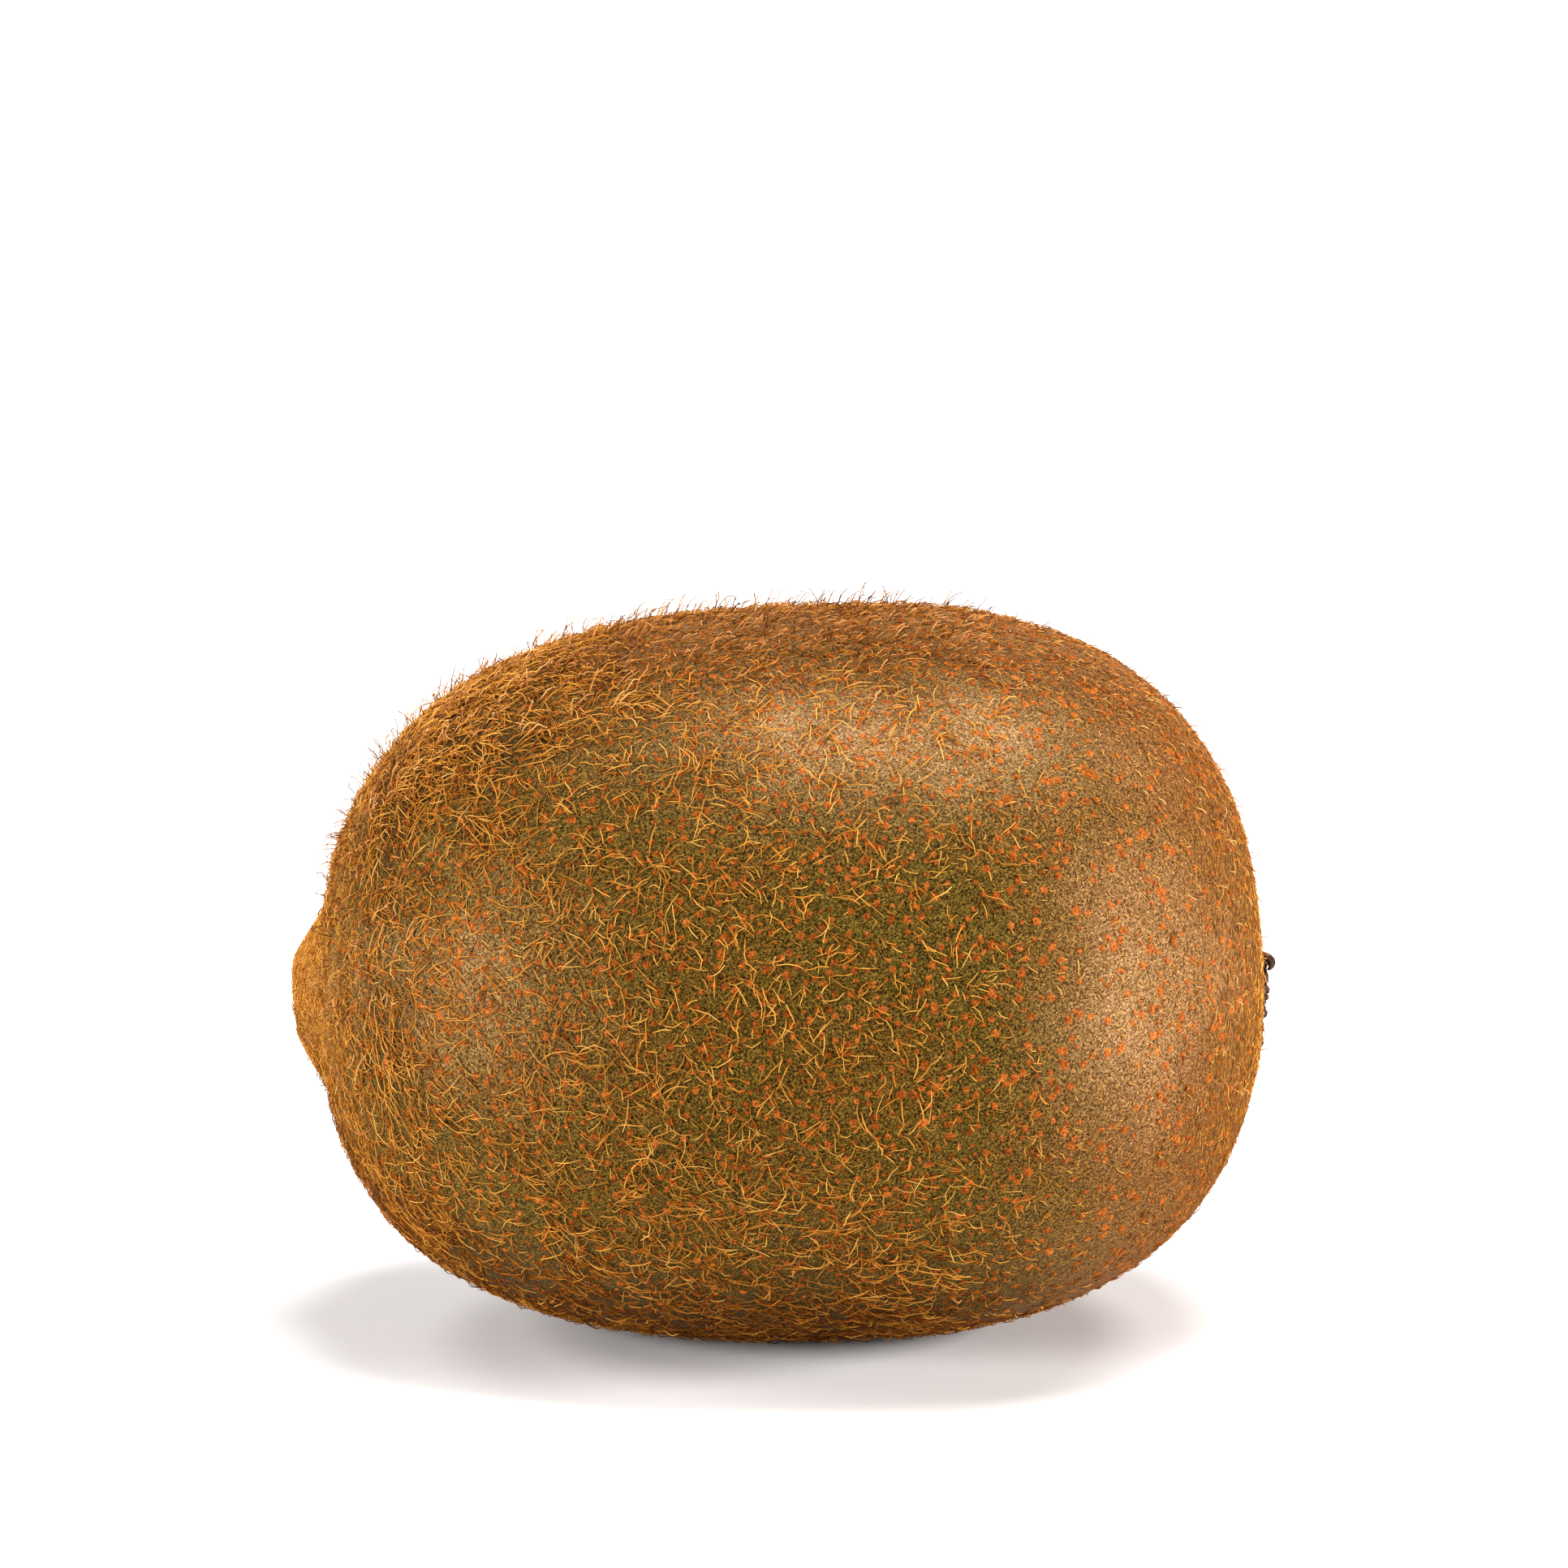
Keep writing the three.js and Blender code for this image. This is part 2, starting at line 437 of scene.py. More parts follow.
def lastThird(points):
    # 1 over most of the fruit, and falling towards the flower end, which is nearly bare
    return 1 - furMap["bareShare"] * ease(alongMm(points), *furMap["bareFrom"])


def stalkCap(points):
    # 1 on the last few millimetres at the stalk end, where the fur is short and fine
    return ease(-alongMm(points), *furMap["stalkCapFrom"])


def alongTop(points):
    # 1 in a band along the top, away from the stalk end
    look, x = furMap, alongMm(points)
    band = between(roundFront(points), *look["topBand"])
    fade = 1 - look["topFadeShare"] * ease(x, *look["topFade"])
    return band * ease(x, *look["topBandFrom"]) * fade


def mmFrom(tip, points):
    return np.linalg.norm(points - tip, axis=1) / mm


# Seeds for roots: cells of the grid picked by area and by how many are wanted there

cellGrid = skinPoints[1:-1].reshape(skinLook["rings"] - 1, skinLook["around"], 3)
nextRound = np.roll(cellGrid, -1, axis=1)
crossed = np.cross((nextRound - cellGrid)[:-1], cellGrid[1:] - cellGrid[:-1])
cellAreas = np.linalg.norm(crossed, axis=2) / mm**2
cells = ((cellGrid[:-1] + cellGrid[1:] + nextRound[:-1] + nextRound[1:]) / 4).reshape(-1, 3)
cellFur = furAt(cells)
cellStalk, cellFlower = mmFrom(stalkTip, cells), mmFrom(flowerTip, cells)
offTheFloor = ease(cells[:, 2], 0.15 * mm, 0.9 * mm)  # nothing grows on the flat spot


def scatter(perMm2, rng):
    # perMm2 is how many are wanted in each square mm at each cell
    wanted = perMm2 * cellAreas.ravel() * offTheFloor
    total = int(round(wanted.sum()))
    picks = rng.choice(len(wanted), size=total, p=wanted / wanted.sum())
    rows, columns = np.divmod(picks, skinLook["around"])
    a, b = rng.random((2, total))[:, :, None]
    corner = cellGrid[rows, columns]
    right = cellGrid[rows, (columns + 1) % skinLook["around"]]
    ahead = cellGrid[rows + 1, columns]
    points = corner + (right - corner) * a + (ahead - corner) * b
    return onSkin(points)


def clearOfTips(wanted, look):
    wanted = wanted * ease(cellStalk, *look["fromStalk"])
    return wanted * ease(cellFlower, *look["fromFlower"])


def skinColour(tree):
    # returns the colour and the height of the fine flecks
    look = skinLook
    where = objectInMm(tree)
    flecks = noiseNode(tree, where, "fine flecks", *look["fleckNoise"])
    stretched = node(tree, "ShaderNodeVectorMath", "rings round the fruit", operation="MULTIPLY")
    stretched.inputs[1].default_value = look["streakStretch"]
    tree.links.new(where, stretched.inputs[0])
    streaks = noiseNode(tree, stretched.outputs[0], "streaks", *look["streakNoise"])
    streaky = node(tree, "ShaderNodeAttribute", "streaky end", attribute_name="streaky")
    height = mixNode(tree, streaky.outputs["Fac"], flecks, streaks)
    fleckShare = rampNode(tree, height, look["fleckStops"])
    names = ("russet", "golden", "pale", "shaded")
    parts = [node(tree, "ShaderNodeAttribute", name, attribute_name=name) for name in names]
    russet, golden, pale, shaded = [part.outputs["Fac"] for part in parts]
    patches = noiseNode(tree, where, "patches", *look["patchNoise"])
    patchShare = rampNode(tree, patches, look["patchStops"])
    brownShare = mixNode(tree, 1.0, russet, patchShare, "ADD")
    shades = []
    for depth in ("Dark", "Light"):
        shade = mixNode(tree, brownShare, look["olive" + depth], look["brown" + depth])
        # lighter flecks inside the painted highlights
        shade = mixNode(tree, pale, shade, look["pale" + depth])
        shades.append(mixNode(tree, golden, shade, look["gold" + depth]))
    return mixNode(tree, shaded, mixNode(tree, fleckShare, *shades), look["shade"]), height


def skinMaterial():
    material, tree, shader = newMaterial("kiwiSkin", skinLook)
    finishShader(tree, shader, skinLook, *skinColour(tree))
    return material


# Where the skin takes each colour. Shares are from 0 to 1, and each pair is a soft edge.

skinZones = {
    "russet": 0.8,
    "russetFrom": (11, 28),  # mm towards the flower end
    "russetOver": 0.6,  # over the top and the underside
    "overFrom": (42, 78),  # degrees off the front or the back
    "russetInFur": 0.15,
    # how sharply the painted highlights fade, and how much they vary
    "paleSharpness": 1.6,
    "paleDriftMm": 5,
    "paleDrift": (0.85, 0.5),
    "goldenCollar": (4, 8.5),  # mm from the stalk
    "goldenHalo": (9, 19), "haloShare": 0.36,
    "goldenDish": (4.5, 9),  # mm from the flower
    "dishShare": 0.5,
    "streaky": 0.6, "streakyFrom": (25, 31),
    "streakyUntil": (5, 8),  # mm from the flower
    "shadedInFur": 0.55, "shadedFur": (0.35, 0.9),
    "shadedUnder": 0.46,
    "under": ((26, 58), (122, 154)),  # degrees below the front
    "underEnds": (4, 20),
}


def setSkinValues(piece, points):
    # what the skin's colour depends on, at each point
    look = skinZones
    x, angle, fur = alongMm(points), roundFront(points), furAt(points)
    offSides = np.minimum(np.abs(angle), 180 - np.abs(angle))
    russet = look["russet"] * ease(x, *look["russetFrom"])
    russet = russet + look["russetOver"] * ease(offSides, *look["overFrom"])
    russet = russet + look["russetInFur"] * fur
    # painted highlights: lighter skin in patches where the lights fall
    pale = np.zeros(len(points))
    for patch in skinLook["palePatches"]:
        fade = np.exp(-look["paleSharpness"] * patchReach(x, angle, patch) ** 2)
        pale = np.maximum(pale, patch[4] * fade)
    pale = pale * rising(driftOf(points, look["paleDriftMm"], 6.1)[:, 0], *look["paleDrift"])
    stalk, flower = mmFrom(stalkTip, points), mmFrom(flowerTip, points)
    golden = np.maximum(
        1 - ease(stalk, *look["goldenCollar"]),
        look["haloShare"] * (1 - ease(stalk, *look["goldenHalo"])),
    )
    dish = look["dishShare"] * (1 - ease(flower, *look["goldenDish"]))
    streaky = look["streaky"] * ease(x, *look["streakyFrom"])
    streaky = streaky * ease(flower, *look["streakyUntil"])
    shaded = look["shadedInFur"] * ease(fur, *look["shadedFur"]) * (1 - stalkCap(points))
    under = between(-angle, *look["under"]) * (1 - ease(x, *look["underEnds"]))
    for name, values in (
        ("russet", np.clip(russet, 0, 1)),
        ("pale", pale),
        ("golden", np.maximum(golden, dish)),
        ("streaky", streaky),
        ("shaded", np.maximum(shaded, look["shadedUnder"] * under)),
    ):
        layer = piece.data.attributes.new(name, "FLOAT", "POINT")
        layer.data.foreach_set("value", values.astype(np.float32))


skin = meshPiece("skin", skinPoints, skinFaces, skinMaterial(), cornerUvs=skinUvs)
setSkinValues(skin, skinPoints)
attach(skin, "root")
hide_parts("fruit")
print("skin", len(skinFaces), "faces")


# Lenticels: low rough domes that most hairs start from

lenticelLook = {
    "seed": 11,
    "perMm2": 0.8,
    "tries": 2.9,  # many are dropped because they stand too close
    "inFur": (1, -0.35),
    "offFlower": (0.05, 0.95),
    "alongTop": (1, 1.2),
    "fromStalk": (6, 9), "fromFlower": (5.6, 16),
    "spacingMm": 0.56,
    "radiusMm": (0.2, 0.42), "radiusOffFlower": (1.3, -0.3),
    "heightMm": (0.04, 0.1), "stretch": (0.75, 1.35), "sides": 5,
    "rings": [(1, -0.25), (0.62, 0.75)],  # share of the radius and of the height
    "raggedReach": (0.55, 1.3), "raggedRise": (0.5, 1.4),
    "tone": (0.5, 0.14),
    "colours": [(0, srgb(90, 41, 12)), (0.5, srgb(148, 75, 24)), (1, srgb(186, 102, 42))],
    # the rust's colour inside the painted highlights
    "inPaintedHighlight": srgb(202, 112, 50),
    "grainNoise": (7, 2, 0.6),
    "grainStops": [
        (0.39, (0.36, 0.3, 0.27)),
        (0.52, (0.95, 0.95, 0.95)),
        (0.65, (1.28, 1.32, 1.36)),
    ],
    "crumbNoise": (3.6, 2, 0.6, 0.5),
    "rimStops": [(0.68, (0, 0, 0)), (1, (0.95, 0.95, 0.95))],
    "roughness": 0.7, "specular": 0.01, "bumpStrength": 0.7, "bumpMm": 0.1,
}


def spreadOut(points, normals, spacing):
    # keeps only points that are at least this far from those kept before
    tree = kdtree.KDTree(len(points))
    for index, place in enumerate(points.tolist()):
        tree.insert(place, index)
    tree.balance()
    keep = np.ones(len(points), dtype=bool)
    for index, place in enumerate(points.tolist()):
        if keep[index]:
            for _, other, _ in tree.find_range(place, spacing):
                if other > index:
                    keep[other] = False
    return points[keep], normals[keep]


def lenticelMaterial():
    # rusty in the middle, with a ragged rim where the skin's own colour shows
    look = lenticelLook
    material, tree, shader = newMaterial("rustyLenticel", look)
    where = objectInMm(tree)
    toneShare, along = toneAndAlong(tree)
    grain = noiseNode(tree, where, "grain", *look["grainNoise"])
    speckle = rampNode(tree, grain, look["grainStops"])
    tone = rampNode(tree, toneShare, look["colours"], "tone")
    # lighter rust inside the painted highlights
    pale = node(tree, "ShaderNodeAttribute", "pale skin", attribute_name="pale")
    tone = mixNode(tree, pale.outputs["Fac"], tone, look["inPaintedHighlight"])
    rust = mixNode(tree, 1.0, tone, speckle, "MULTIPLY")
    plain, _ = skinColour(tree)
    crumbs = noiseNode(tree, where, "crumbs", *look["crumbNoise"])
    ragged = mixNode(tree, 1.0, along, crumbs, "ADD")
    middle = rampNode(tree, ragged, look["rimStops"], "rim to middle")
    finishShader(tree, shader, look, mixNode(tree, middle, plain, rust), grain)
    return material


def makeLenticels():
    look = lenticelLook
    rng = np.random.default_rng(look["seed"])
    wanted = look["perMm2"] * look["tries"] * rising(cellFur, *look["inFur"])
    wanted = wanted * rising(lastThird(cells), *look["offFlower"])
    wanted = wanted * rising(alongTop(cells), *look["alongTop"])
    points, normals = scatter(clearOfTips(wanted, look), rng)
    points, normals = spreadOut(points, normals, look["spacingMm"] * mm)
    count, sides = len(points), look["sides"]
    radii = rng.uniform(*look["radiusMm"], count)
    radii = radii * rising(lastThird(points), *look["radiusOffFlower"]) * mm
    heights = rng.uniform(*look["heightMm"], count) * mm
    ahead = flatten(rng.normal(size=(count, 3)), normals)
    across = np.cross(normals, ahead)
    stretch = rng.uniform(*look["stretch"], count)
    rows = []
    for share, lift in look["rings"]:
        for side in range(sides):
            angle = 2 * math.pi * side / sides + rng.uniform(-0.25, 0.25, count)
            reach = radii * share * rng.uniform(*look["raggedReach"], count)
            rise = heights * lift * rng.uniform(*look["raggedRise"], count)
            place = points + ahead * (np.cos(angle) * reach * stretch)[:, None]
            place = place + across * (np.sin(angle) * reach)[:, None] + normals * rise[:, None]
            rows.append(place)
    rows.append(points + normals * heights[:, None])
    places = np.stack(rows, axis=1).reshape(-1, 3)
    each = 2 * sides + 1  # points in a dome
    pattern = []
    for a, b, c, d in stripFaces(sides, 2):
        pattern += [(a, d, c, b), (b, c, 2 * sides)]
    tones = rng.normal(*look["tone"], count) + 0.05 * (1 - lastThird(points))
    us = np.clip(tones, 0.03, 0.95)[:, None] + rng.normal(0, 0.14, (count, each))
    vs = np.array([0.04] * sides + [0.62] * sides + [0.95])
    vs = vs + rng.uniform(-0.2, 0.2, (count, each))
    uvs = np.clip(np.stack([us, vs], axis=-1), 0.01, 0.99).reshape(-1, 2)
    faces = copiedFaces(pattern, each, count)
    piece = meshPiece("lenticels", places, faces, lenticelMaterial(), vertexUvs=uvs)
    setSkinValues(piece, places)
    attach(piece, "root")
    print("lenticels", count)
    return points


lenticels = makeLenticels()


# Fur: its colours, what all hairs share and the way it lies

furColours = {
    "goldenTones": [
        (0, srgb(90, 47, 12)),
        (0.35, srgb(163, 101, 30)),
        (0.7, srgb(210, 144, 55)),
        (1, srgb(234, 175, 84)),
    ],
    # the hairs' own colour with a painted grey sheen, for hairs along the top and standing at the
    # outline
    "sheenGreyTones": [
        (0, srgb(88, 52, 26)),
        (0.35, srgb(158, 99, 49)),
        (0.7, srgb(208, 142, 78)),
        (1, srgb(230, 178, 108)),
    ],
    # hairs darker towards the root: partly their own rustier bases, partly painted shade where
    # they lie on the skin
    "rootShadeToTip": [(0, (0.42, 0.34, 0.26)), (0.35, (0.88, 0.84, 0.8)), (1, (1, 1, 1))],
    "roughness": 0.5, "specular": 0.03,
}
hairForm = {  # a kind of fur can have numbers of its own instead
    "furPower": 1.4, "fromStalk": (2.6, 6), "fromFlower": (4.2, 6),
    "lengthPower": 1, "liftPower": 1, "taper": 0.3, "joints": 3,
    "lengthInFur": (0.78, 0.6), "lengthOffFlower": (0.55, 0.45), "lengthOnCap": (1, -0.4),
    "liftOffFlower": (0.3, 0.7), "thickOnCap": (1, -0.3),
    "varies": (0.75, 1.25),  # of the lift at each joint, and of the thickness
    "rootMm": 0.03,  # how deep it starts in the skin
    "floorMm": 0.08,  # how far it stays off the floor
    "lastRingAt": 0.95,  # where the tip's last ring is along the hair
}
furFlow = {
    "along": (1, 0, -0.12),  # towards the flower end and a little down
    "round": (0.45, 0.8),  # more near the stalk
    "roundUntil": (-34, -10),
    "swirls": [(7, 21.3, 1.5), (2.4, 5.1, 0.8)],
    "swirlInFur": (1, -0.5),
}
furTones = {  # what is added to a hair's tone, which goes from 0, dark, to 1, light
    "everywhere": 0.07,
    # painted shade: hairs underneath are darker
    "under": -0.42,
    "underDegrees": ((24, 58), (122, 156)),  # below the front
    "alongTop": -0.4,
    "shoulder": -0.1, "shoulderFrom": (6, 24), "shoulderDegrees": (10, 40),
    "stalkCap": -0.1, "spread": 0.27, "limits": (0.02, 0.98),
}


def furMaterial(name, tones):
    material, tree, shader = newMaterial(name, furColours)
    toneShare, along = toneAndAlong(tree)
    tone = rampNode(tree, toneShare, tones, "tone")
    # darker roots, partly painted shade
    shade = rampNode(tree, along, furColours["rootShadeToTip"], "root shade to tip")
    tree.links.new(mixNode(tree, 1.0, tone, shade, "MULTIPLY"), shader.inputs["Base Color"])
    return material


goldenFur = furMaterial("goldenFur", furColours["goldenTones"])
# a painted grey sheen on the hairs along the top and at the outline
sheenGreyFur = furMaterial("sheenGreyFur", furColours["sheenGreyTones"])


def hairPaths(look, points, normals, headings, rng):
    # each hair creeps over the skin from its root, curling, and lifts off it towards its tip
    count, joints = len(points), look["joints"]
    shortest, longest = look["lengthMm"]
    lengths = (shortest + (longest - shortest) * rng.random(count) ** look["lengthPower"]) * mm
    lengths = lengths * rising(furAt(points), *look["lengthInFur"])
    lengths = lengths * rising(lastThird(points), *look["lengthOffFlower"])
    lengths = lengths * rising(stalkCap(points), *look["lengthOnCap"])
    lifts = rng.uniform(*look["liftMm"], count) ** look["liftPower"] * mm
    lifts = lifts * rising(lastThird(points), *look["liftOffFlower"])
    curls = rng.normal(0, look["curl"], count) / joints
    shares = np.append(np.arange(joints) / (joints - 1) * look["lastRingAt"], 1.0)
    lowest = [-1, -1, look["floorMm"] * mm]  # only the height is held
    foot, up, ahead = points, normals, headings
    places, ups = [foot - up * look["rootMm"] * mm], [up]
    for before, share in zip(shares[:-1], shares[1:]):
        foot, up = onSkin(foot + ahead * (lengths * (share - before))[:, None])
        kinks = rng.normal(0, look["kink"] * min(1, (share - before) * 4), count)
        ahead = turned(flatten(ahead, up), up, curls + kinks)
        arch = math.sin(share * look["arch"]) / math.sin(min(look["arch"], math.pi / 2))
        rise = lifts * arch * rng.uniform(*look["varies"], count)
        places.append(np.maximum(foot + up * rise[:, None], lowest))
        ups.append(up)
    return np.stack(places, axis=1), np.stack(ups, axis=1), shares[:-1]


def hairPattern(joints):
    # three-sided rings from the root on, and a pointed tip
    pattern = []
    for a, b, c, d in stripFaces(3, joints):
        pattern += [(a, d, c), (a, c, b)]
    tip = joints * 3
    return pattern + [(tip - 3, tip - 2, tip), (tip - 2, tip - 1, tip), (tip - 1, tip - 3, tip)]


def growFur(name, look, points, normals, headings, rng, tones, material=goldenFur):
    look = {**hairForm, **look}
    count, joints = len(points), look["joints"]
    places, ups, shares = hairPaths(look, points, normals, headings, rng)
    runs = unit(np.gradient(places, axis=1))
    runs[:, -2:] = unit(places[:, -2:-1] - places[:, -3:-2])
    sides = unit(np.cross(runs, ups))
    tops = np.cross(sides, runs)
    radii = look["thickMm"] / 2 * mm * (1 - look["taper"] * shares**1.5)
    thickness = rng.uniform(*look["varies"], count)
    thickness = thickness * rising(stalkCap(points), *look["thickOnCap"])
    radii = radii[None, :] * thickness[:, None]
    rings = []
    for corner in range(3):
        angle = 2 * math.pi * corner / 3 + math.pi / 2
        offset = sides[:, :-1] * math.cos(angle) + tops[:, :-1] * math.sin(angle)
        rings.append(places[:, :-1] + offset * radii[:, :, None])
    body = np.stack(rings, axis=2).reshape(count, joints * 3, 3)
    vertices = np.concatenate([body, places[:, -1:]], axis=1).reshape(-1, 3)
    faces = copiedFaces(hairPattern(joints), joints * 3 + 1, count)
    us = tones[:, None] + np.array([-0.012, 0.012, 0.0] * joints + [0.0])[None]
    vs = np.array(np.repeat(shares, 3).tolist() + [0.98]) + 0.01
    uvs = np.stack([us, np.tile(vs, (count, 1))], axis=-1)
    uvs = np.clip(uvs, 0.005, 0.995).reshape(-1, 2)
    piece = meshPiece(name, vertices, faces, material, vertexUvs=uvs)
    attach(piece, "root")
    print(name, count, "hairs", len(faces), "triangles")


def headingsAt(points, normals, rng, jitter):
    # the fur leans towards the flower end, swirls in patches and runs round the stalk end
    look = furFlow
    roundFruit = np.cross([1.0, 0.0, 0.0], unit(points - centre))
    nearer = 1 - ease(alongMm(points), *look["roundUntil"])
    flow = np.array(look["along"]) + roundFruit * rising(nearer, *look["round"])[:, None]
    calm = rising(furAt(points), *look["swirlInFur"])
    flow = flow + swirlsAt(points, look["swirls"]) * calm[:, None]
    return turned(flatten(flow, normals), normals, rng.normal(0, 1, len(points)) * jitter)


def tonesAt(points, middle, rng):
    # darker underneath as painted shade, and darker along the top and on the shoulder
    look, angle = furTones, roundFront(points)
    shoulder = ease(-alongMm(points), *look["shoulderFrom"])
    shoulder = shoulder * ease(angle, *look["shoulderDegrees"])
    middle = middle + look["everywhere"] + look["under"] * between(-angle, *look["underDegrees"])
    middle = middle + look["alongTop"] * alongTop(points) + look["shoulder"] * shoulder
    middle = middle + look["stalkCap"] * stalkCap(points)
    return np.clip(rng.normal(middle, look["spread"]), *look["limits"])


longFur = {
    "lengthMm": (1, 2.8), "lengthPower": 1.4, "liftMm": (0.06, 0.4),
    "arch": 2.6, "curl": 0.3, "kink": 0.3, "joints": 4, "thickMm": 0.077,
    "barePerMm2": 0.68, "thickPerMm2": 4.9, "furPower": 1.6, "jitter": (1.4, -1),
    "meanTone": 0.55, "atLenticels": 0.55, "loose": 0.45, "rootSpreadMm": 0.14,
    "fromStalk": (3, 7), "fromFlower": (4.6, 6), "shoulderMm": -8, "seed": 21,
}
shortFur = {
    "lengthMm": (0.5, 1.5), "liftMm": (0.05, 0.35),
    "arch": 2.3, "curl": 0.6, "kink": 0.4, "thickMm": 0.074,
    "barePerMm2": 0.75, "thickPerMm2": 1.7, "jitter": 0.8,
    "meanTone": 0.5, "seed": 22,
}
standingFur = {
    "lengthMm": (0.8, 1.9), "lengthPower": 1.2, "liftMm": (0.4, 1.25), "liftPower": 1.7,
    "arch": 1.7, "curl": 0.5, "kink": 0.4, "joints": 4, "thickMm": 0.09,
    "barePerMm2": 0.55, "thickPerMm2": 1.6, "jitter": 0.5,
    # a lighter tone: painted light, as the light shines through the standing hairs at the outline
    "meanTone": 0.6, "seed": 23,
    "topDegrees": (44, 66), "endsMm": (22, 29), "aboveMm": (14, 30),
    "offFlower": (0.25, 0.75), "clearOfStalk": (6, 12),
}


def makeLongFur():
    # most long hairs start in ones to several at a lenticel, and the rest anywhere
    look = longFur
    rng = np.random.default_rng(look["seed"])
    extra = look["thickPerMm2"] - look["barePerMm2"]
    wanted = look["barePerMm2"] * lastThird(lenticels)
    wanted = wanted + extra * furAt(lenticels) ** look["furPower"]
    perSpot = rng.poisson(wanted * look["atLenticels"] / lenticelLook["perMm2"])
    picks = np.repeat(np.arange(len(lenticels)), perSpot)
    points = lenticels[picks] + rng.normal(0, look["rootSpreadMm"] * mm, (len(picks), 3))
    wanted = look["barePerMm2"] * lastThird(cells) + extra * cellFur ** look["furPower"]
    loose, _ = scatter(clearOfTips(wanted * look["loose"], look), rng)
    points, normals = onSkin(np.vstack([points, loose]))
    headings = headingsAt(points, normals, rng, rising(furAt(points), *look["jitter"]))
    tones = tonesAt(points, look["meanTone"], rng)
    shoulder, front = points[:, 0] < look["shoulderMm"] * mm, points[:, 1] < 0
    for name, chosen in (
        ("frontShoulderFur", shoulder & front),
        ("backShoulderFur", shoulder & ~front),
        ("flankFur", ~shoulder),
    ):
        growFur(name, look, points[chosen], normals[chosen], headings[chosen], rng, tones[chosen])


def makeFur(name, ownLook, share=1, material=goldenFur):
    look = {**hairForm, **ownLook}
    rng = np.random.default_rng(look["seed"])
    extra = look["thickPerMm2"] - look["barePerMm2"]
    wanted = (look["barePerMm2"] + extra * cellFur ** look["furPower"]) * share
    points, normals = scatter(clearOfTips(wanted, look), rng)
    headings = headingsAt(points, normals, rng, look["jitter"])
    tones = tonesAt(points, look["meanTone"], rng)
    growFur(name, look, points, normals, headings, rng, tones, material)


def uprightShare(points):
    # hairs stand up on the top and round both ends, but not low on the sides
    look = standingFur
    upright = ease(roundFront(points), *look["topDegrees"])
    upright = upright + ease(np.abs(alongMm(points)), *look["endsMm"])
    upright = np.minimum(upright, 1) * ease(points[:, 2] / mm, *look["aboveMm"])
    upright = upright * rising(lastThird(points), *look["offFlower"])
    return upright * ease(mmFrom(stalkTip, points), *look["clearOfStalk"])


makeLongFur()
makeFur("shortFur", shortFur)
# standing hairs take the painted grey sheen
makeFur("standingFur", standingFur, uprightShare(cells), sheenGreyFur)


# Patches of fur with directions and tones of their own

endFur = {  # fine flat fibres that run round the fruit towards its flower end
    "lengthMm": (0.6, 1.8), "liftMm": (0.03, 0.14),
    "arch": 2.4, "curl": 0.25, "kink": 0.25, "thickMm": 0.05,
    "perMm2": 6, "fromFlower": ((6.5, 8.5), (12, 24)), "swirls": [(5, 8.8, 0.004)],
    "jitter": 0.25, "tone": (0.32, 0.2), "seed": 25,
}
topFur = {  # a thin mat of short hairs along the top, in a narrower band than furMap's
    "lengthMm": (0.5, 1.4), "liftMm": (0.1, 0.5), "liftPower": 1.4,
    "arch": 1.8, "curl": 0.3, "kink": 0.35, "thickMm": 0.07,
    "perMm2": 2.9, "degrees": ((54, 74), (106, 126)), "from": (-18, -4),
    "fromFlower": (9, 18), "swirls": [(4, 15, 0.7)],
    "jitter": 0.35, "tone": (0.4, 0.26), "seed": 26,
}
stalkFur = {
    "lengthMm": (0.7, 1.7), "liftMm": (0.03, 0.16),
    "arch": 2.5, "curl": 0.5, "kink": 0.35, "thickMm": 0.075,
    "perMm2": 14, "fromMm": (1.3, 1.9), "reachMm": 8, "seed": 31,
}
flowerFur = {
    "lengthMm": (0.5, 1.1), "liftMm": (0.05, 0.3), "liftPower": 1.2,
    "arch": 2, "curl": 0.5, "kink": 0.35, "thickMm": 0.07,
    "perMm2": 9, "fromMm": (4.5, 5.1), "reachMm": 8.5, "seed": 32,
}
collarFur = {  # what both collars share
    "outward": 0.8, "sideways": 0.35, "swirls": [(2.2, 2, 0.9)],
    "jitter": 0.6, "tone": (0.52, 0.23),
}


def makePatch(name, look, band, leading, material=goldenFur):
    # leading gives the direction of the hairs before they swirl
    rng = np.random.default_rng(look["seed"])
    points, normals = scatter(look["perMm2"] * band, rng)
    directions = leading(points, normals) + swirlsAt(points, look["swirls"])
    turns = rng.normal(0, look["jitter"], len(points))
    headings = turned(flatten(directions, normals), normals, turns)
    tones = np.clip(rng.normal(*look["tone"], len(points)), *furTones["limits"])
    growFur(name, look, points, normals, headings, rng, tones, material)


def makeCollarFur(name, ownLook, tip, distances):
    look = {**collarFur, **ownLook}
    reach = look["reachMm"]

    def leading(points, normals):
        outwards = flatten(points - tip, normals)
        return outwards * look["outward"] + np.cross(normals, outwards) * look["sideways"]

    band = (1 - ease(distances, reach * 0.6, reach)) * ease(distances, *look["fromMm"])
    makePatch(name, look, band, leading)


endBand = between(cellFlower, *endFur["fromFlower"])
topBand = between(roundFront(cells), *topFur["degrees"]) * ease(alongMm(cells), *topFur["from"])
topBand = topBand * ease(cellFlower, *topFur["fromFlower"])
makePatch("endFur", endFur, endBand, lambda points, normals: np.cross(normals, points - flowerTip))
# the mat along the top takes the painted grey sheen
makePatch("topFur", topFur, topBand, lambda points, normals: np.array([1.0, 0, 0]), sheenGreyFur)
makeCollarFur("stalkCollarFur", stalkFur, stalkTip, cellStalk)
makeCollarFur("flowerCollarFur", flowerFur, flowerTip, cellFlower)


# Stalk scar: a low woody button in the pit

